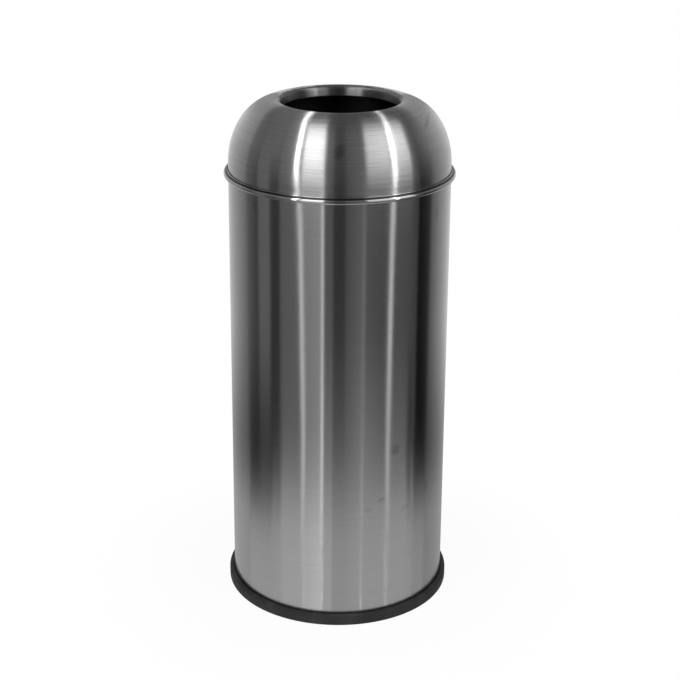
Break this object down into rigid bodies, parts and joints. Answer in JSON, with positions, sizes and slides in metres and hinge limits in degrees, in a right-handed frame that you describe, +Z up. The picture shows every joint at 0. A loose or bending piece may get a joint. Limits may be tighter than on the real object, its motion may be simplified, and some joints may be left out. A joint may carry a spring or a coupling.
{
  "type": "dome top waste receptacle",
  "caption": "Round stainless waste bin with a lift-off dome, open round mouth, black base ring and a removable galvanised liner bucket.",
  "frame": {"origin": "on the floor, at the centre of the bin's round foot", "axes": "+Z up along the bin's axis, -Y towards the front of the picture, +X to the right; the liner's ears are at +X and -X"},
  "size_m": [0.314, 0.314, 0.704],
  "materials": {
    "stainless": "satin stainless sheet, fine grain running round the bin",
    "galvanised": "dull galvanised sheet with soft spangle",
    "black_rubber": "matt black moulded ring",
    "wire": "zinc plated wire and rivets"
  },
  "bodies": {
    "body": {"body_shell": "stainless", "base_plate": "galvanised", "base_ring": "black_rubber"},
    "dome": {"dome_shell": "stainless", "dome_collar": "galvanised"},
    "liner": {"liner_wall": "galvanised", "liner_bottom": "galvanised", "liner_rim_wire": "wire", "liner_ear_right": "galvanised", "liner_ear_left": "galvanised", "ear_rivet_right_1": "wire", "ear_rivet_right_2": "wire", "ear_rivet_left_1": "wire", "ear_rivet_left_2": "wire"},
    "handle": {"bail": "wire"}
  },
  "joints": [
    {"name": "dome_lift", "type": "slide", "parent": "body", "child": "dome", "axis": [0, 0, 1], "range_m": [0, 0.2]},
    {"name": "liner_lift", "type": "slide", "parent": "body", "child": "liner", "axis": [0, 0, 1], "range_m": [0, 0.1]},
    {"name": "bail_swing", "type": "hinge", "parent": "liner", "child": "handle", "pos_m": [0, 0, 0.536], "axis": [-1, 0, 0], "range_deg": [0, 230.7]}
  ]
}
